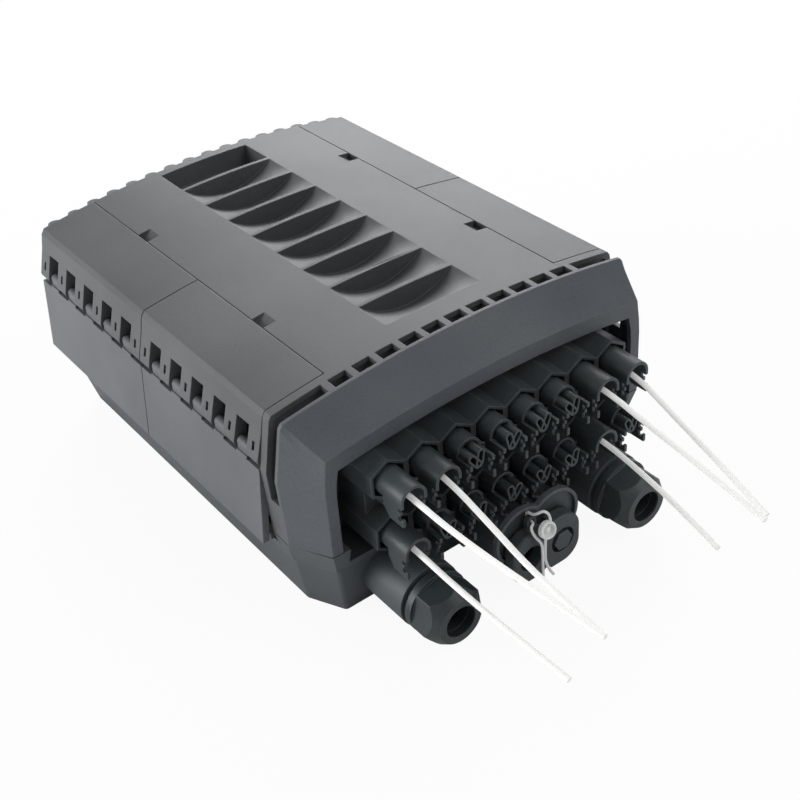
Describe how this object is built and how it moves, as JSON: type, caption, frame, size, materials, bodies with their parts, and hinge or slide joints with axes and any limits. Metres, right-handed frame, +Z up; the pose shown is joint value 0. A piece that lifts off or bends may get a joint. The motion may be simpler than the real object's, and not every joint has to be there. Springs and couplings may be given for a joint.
{
  "type": "fibre distribution box",
  "caption": "Outdoor fibre distribution box with a domed latched cover, rows of drop-cable ports under a hood and large feeder-cable glands below.",
  "frame": {"origin": "on the flat resting face, under the middle of the enclosure's width", "axes": "+Z up, -Y towards the port face with the glands and drop cables, +X to the right seen from the port face"},
  "size_m": [0.2384, 0.4226, 0.1335],
  "materials": {
    "cover_plastic": "fine satin grain",
    "housing_plastic": "fine satin grain",
    "port_plastic": "satin",
    "seal_rubber": "matt",
    "pin_steel": "drawn",
    "cable_jacket": "smooth",
    "tag_plastic": "smooth",
    "tray_plastic": "smooth",
    "splitter_plastic": "smooth"
  },
  "bodies": {
    "housing": {"base_tray": "housing_plastic", "cable_entries": "housing_plastic", "cover_shell": "cover_plastic", "cover_gasket": "seal_rubber", "link_hinge_pins": "pin_steel", "port_block": "port_plastic", "port_gasket": "seal_rubber", "drop_port_upper_1": "port_plastic", "drop_port_upper_2": "port_plastic", "drop_port_upper_3": "port_plastic", "drop_port_upper_4": "port_plastic", "drop_port_upper_5": "port_plastic", "drop_port_upper_6": "port_plastic", "drop_port_upper_7": "port_plastic", "drop_port_upper_8": "port_plastic", "drop_port_lower_1": "port_plastic", "drop_port_lower_2": "port_plastic", "drop_port_lower_3": "port_plastic", "drop_port_lower_4": "port_plastic", "drop_port_lower_5": "port_plastic", "drop_port_lower_6": "port_plastic", "drop_port_lower_7": "port_plastic", "drop_port_lower_8": "port_plastic", "port_grommets": "seal_rubber", "gland_spigot_left": "port_plastic", "gland_spigot_right": "port_plastic", "gland_seals": "seal_rubber", "feeder_seal": "seal_rubber", "feeder_clamp": "port_plastic", "feeder_plug": "port_plastic", "seal_bead": "tag_plastic", "seal_wire": "tag_plastic", "drop_cable_a": "cable_jacket", "drop_cable_b": "cable_jacket", "drop_cable_c": "cable_jacket", "drop_cable_d": "cable_jacket", "drop_cable_e": "cable_jacket", "drop_cable_f": "cable_jacket", "tray_carrier": "tray_plastic", "splice_tray_1": "tray_plastic", "splice_tray_2": "tray_plastic", "splice_tray_3": "tray_plastic", "tray_lid": "tray_plastic", "carrier_screws": "pin_steel", "splitter_module": "splitter_plastic", "anchor_bar": "pin_steel"},
    "link_left_front": {"latch_link_left_front": "cover_plastic", "lever_pin_left_front": "pin_steel"},
    "lever_left_front": {"latch_lever_left_front": "cover_plastic"},
    "link_left_rear": {"latch_link_left_rear": "cover_plastic", "lever_pin_left_rear": "pin_steel"},
    "lever_left_rear": {"latch_lever_left_rear": "cover_plastic"},
    "link_right_front": {"latch_link_right_front": "cover_plastic", "lever_pin_right_front": "pin_steel"},
    "lever_right_front": {"latch_lever_right_front": "cover_plastic"},
    "link_right_rear": {"latch_link_right_rear": "cover_plastic", "lever_pin_right_rear": "pin_steel"},
    "lever_right_rear": {"latch_lever_right_rear": "cover_plastic"},
    "nut_left": {"gland_nut_left": "port_plastic"},
    "nut_right": {"gland_nut_right": "port_plastic"}
  },
  "joints": [
    {"name": "link_left_front_hinge", "type": "hinge", "parent": "housing", "child": "link_left_front", "pos_m": [-0.113, -0.0433, 0.0536], "axis": [0, -1, 0], "range_deg": [0, 25]},
    {"name": "lever_left_front_hinge", "type": "hinge", "parent": "link_left_front", "child": "lever_left_front", "pos_m": [-0.111, -0.0433, 0.098], "axis": [0, -1, 0], "range_deg": [0, 95]},
    {"name": "link_left_rear_hinge", "type": "hinge", "parent": "housing", "child": "link_left_rear", "pos_m": [-0.113, 0.0774, 0.0536], "axis": [0, -1, 0], "range_deg": [0, 25]},
    {"name": "lever_left_rear_hinge", "type": "hinge", "parent": "link_left_rear", "child": "lever_left_rear", "pos_m": [-0.111, 0.0774, 0.098], "axis": [0, -1, 0], "range_deg": [0, 95]},
    {"name": "gland_nut_left_turn", "type": "hinge", "parent": "housing", "child": "nut_left", "pos_m": [-0.063, -0.172, 0.0205], "axis": [0, 1, 0], "continuous": true},
    {"name": "link_right_front_hinge", "type": "hinge", "parent": "housing", "child": "link_right_front", "pos_m": [0.113, -0.0433, 0.0536], "axis": [0, 1, 0], "range_deg": [0, 25]},
    {"name": "lever_right_front_hinge", "type": "hinge", "parent": "link_right_front", "child": "lever_right_front", "pos_m": [0.111, -0.0433, 0.098], "axis": [0, 1, 0], "range_deg": [0, 95]},
    {"name": "link_right_rear_hinge", "type": "hinge", "parent": "housing", "child": "link_right_rear", "pos_m": [0.113, 0.0774, 0.0536], "axis": [0, 1, 0], "range_deg": [0, 25]},
    {"name": "lever_right_rear_hinge", "type": "hinge", "parent": "link_right_rear", "child": "lever_right_rear", "pos_m": [0.111, 0.0774, 0.098], "axis": [0, 1, 0], "range_deg": [0, 95]},
    {"name": "gland_nut_right_turn", "type": "hinge", "parent": "housing", "child": "nut_right", "pos_m": [0.063, -0.172, 0.0205], "axis": [0, 1, 0], "continuous": true}
  ]
}
